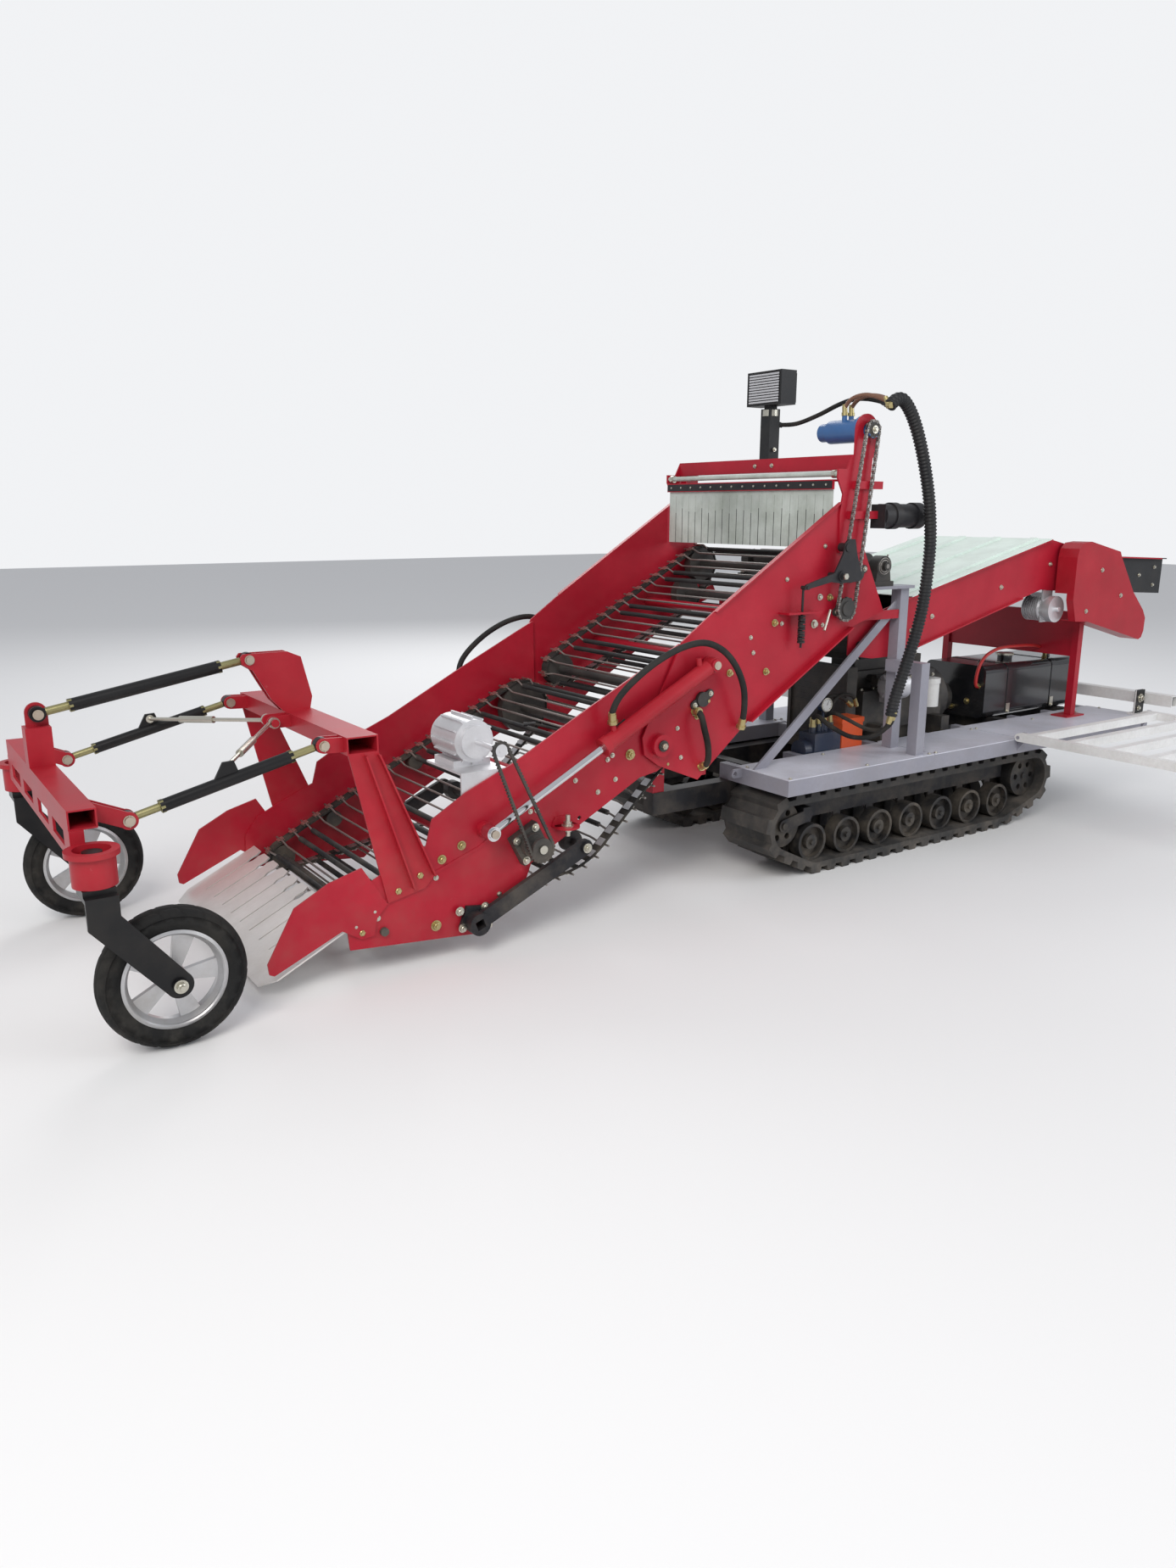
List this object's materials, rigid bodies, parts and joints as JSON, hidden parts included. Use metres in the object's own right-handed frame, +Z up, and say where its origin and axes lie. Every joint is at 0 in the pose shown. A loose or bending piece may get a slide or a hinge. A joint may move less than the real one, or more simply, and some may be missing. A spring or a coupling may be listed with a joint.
{
  "type": "potato harvester",
  "caption": "Self-propelled tracked potato harvester with a two-section rod-web elevator, slotted shovel, caster gauge wheels, transfer conveyor and fold-out side platforms",
  "frame": {"origin": "centre of the overall box at ground level", "axes": "+Z up; the machine digs and drives towards -X; its left side is -Y"},
  "size_m": [5.9599, 3.13, 2.175],
  "materials": {
    "red_paint": "gloss",
    "grey_paint": "satin",
    "white_paint": "satin",
    "black_paint": "satin",
    "blue_paint": "satin",
    "steel": "worn",
    "stainless": "brushed",
    "chrome": "polished",
    "zinc": "plated",
    "cast_alloy": "cast",
    "iron": "rough",
    "rubber": "matte",
    "tyre": "matte",
    "pale_rubber": "matte",
    "black_plastic": "matte",
    "orange_plastic": "matte",
    "pale_sheet": "matte",
    "white_metal": "gloss"
  },
  "bodies": {
    "chassis": {"track_frames": "black_paint", "track_rollers": "iron", "drive_sprockets": "iron", "left_track": "rubber", "right_track": "rubber", "chassis_frame": "black_paint", "deck_frames": "grey_paint", "deck_plates": "grey_paint", "post_frame": "grey_paint", "transfer_roller": "iron", "engine": "iron", "alternator": "cast_alloy", "hydraulic_unit": "blue_paint", "filter_canister": "white_metal", "battery_box": "orange_plastic", "fuel_tank": "black_paint", "rear_frame": "red_paint", "rear_web_rods": "steel", "rear_web_belts": "rubber", "rear_rollers": "steel", "top_frame": "red_paint", "rubber_curtain": "pale_rubber", "work_lamp": "black_plastic", "web_motor": "blue_paint", "drive_chain": "steel", "chain_tensioner": "black_paint", "corrugated_hose": "black_plastic", "unload_plates": "red_paint", "unload_belt": "rubber", "cover_sheet": "pale_sheet", "end_guard": "red_paint", "unload_motor": "cast_alloy", "unload_chute": "black_paint", "unload_supports": "red_paint", "rear_rail": "white_paint", "oil_filter": "black_paint"},
    "front_section": {"front_frame": "red_paint", "front_arch": "red_paint", "shovel": "stainless", "share_plates": "red_paint", "shaker_motor": "cast_alloy", "shaker_drive": "iron", "shaker_arms": "black_paint", "front_web_rods": "steel", "front_web_belts": "rubber", "front_rollers": "steel"},
    "lower_link_pair": {"lower_links": "black_paint", "stabilisers": "zinc"},
    "top_link_arm": {"top_link": "black_paint"},
    "gauge_beam": {"wheel_beam": "red_paint"},
    "left_caster_fork": {"left_caster": "black_paint"},
    "right_caster_fork": {"right_caster": "black_paint"},
    "left_wheel": {"left_tyre": "tyre", "left_rim": "cast_alloy"},
    "right_wheel": {"right_tyre": "tyre", "right_rim": "cast_alloy"},
    "lift_barrel_pair": {"lift_barrels": "red_paint"},
    "lift_rod_pair": {"lift_rods": "chrome"},
    "left_platform_rack": {"left_platform": "white_paint"},
    "right_platform_rack": {"right_platform": "white_paint"}
  },
  "joints": [
    {"name": "front_lift", "type": "hinge", "parent": "chassis", "child": "front_section", "pos_m": [-0.808, 0, 0.683], "axis": [0, 1, 0], "range_deg": [-8, 10]},
    {"name": "lift_barrel_swing", "type": "hinge", "parent": "chassis", "child": "lift_barrel_pair", "pos_m": [-0.585, 0, 0.986], "axis": [0, 1, 0], "range_deg": [-6.01, 7.42]},
    {"name": "lift_rod_slide", "type": "slide", "parent": "lift_barrel_pair", "child": "lift_rod_pair", "axis": [-0.8872, 0, -0.4613], "range_m": [-0.032, 0.026]},
    {"name": "lower_link_lift", "type": "hinge", "parent": "front_section", "child": "lower_link_pair", "pos_m": [-2.155, 0, 0.83], "axis": [0, 1, 0], "range_deg": [-10, 10]},
    {"name": "top_link_lift", "type": "hinge", "parent": "front_section", "child": "top_link_arm", "pos_m": [-2.2, 0.075, 1.05], "axis": [0, 1, 0], "range_deg": [-9.2, 9.2]},
    {"name": "gauge_beam_pitch", "type": "hinge", "parent": "lower_link_pair", "child": "gauge_beam", "pos_m": [-2.77, 0, 0.675], "axis": [0, 1, 0], "range_deg": [-8.6, 8.6]},
    {"name": "left_caster_swivel", "type": "hinge", "parent": "gauge_beam", "child": "left_caster_fork", "pos_m": [-2.905, -0.67, 0.6], "axis": [0, 0, 1], "continuous": true},
    {"name": "right_caster_swivel", "type": "hinge", "parent": "gauge_beam", "child": "right_caster_fork", "pos_m": [-2.905, 0.67, 0.6], "axis": [0, 0, 1], "continuous": true},
    {"name": "left_wheel_spin", "type": "hinge", "parent": "left_caster_fork", "child": "left_wheel", "pos_m": [-2.72, -0.67, 0.22], "axis": [0, 1, 0], "continuous": true},
    {"name": "right_wheel_spin", "type": "hinge", "parent": "right_caster_fork", "child": "right_wheel", "pos_m": [-2.72, 0.67, 0.22], "axis": [0, 1, 0], "continuous": true},
    {"name": "left_platform_fold", "type": "hinge", "parent": "chassis", "child": "left_platform_rack", "pos_m": [1.91, -0.69, 0.49], "axis": [-1, 0, 0], "range_deg": [0, 90]},
    {"name": "right_platform_fold", "type": "hinge", "parent": "chassis", "child": "right_platform_rack", "pos_m": [1.91, 0.69, 0.49], "axis": [1, 0, 0], "range_deg": [0, 90]}
  ],
  "couplings": [
    {"joint": "lift_barrel_swing", "follows": "front_lift", "ratio": 0.7017},
    {"joint": "lift_rod_slide", "follows": "front_lift", "m_per_rad": -0.166},
    {"joint": "top_link_lift", "follows": "lower_link_lift", "ratio": 0.903},
    {"joint": "gauge_beam_pitch", "follows": "lower_link_lift", "ratio": -0.8404}
  ]
}
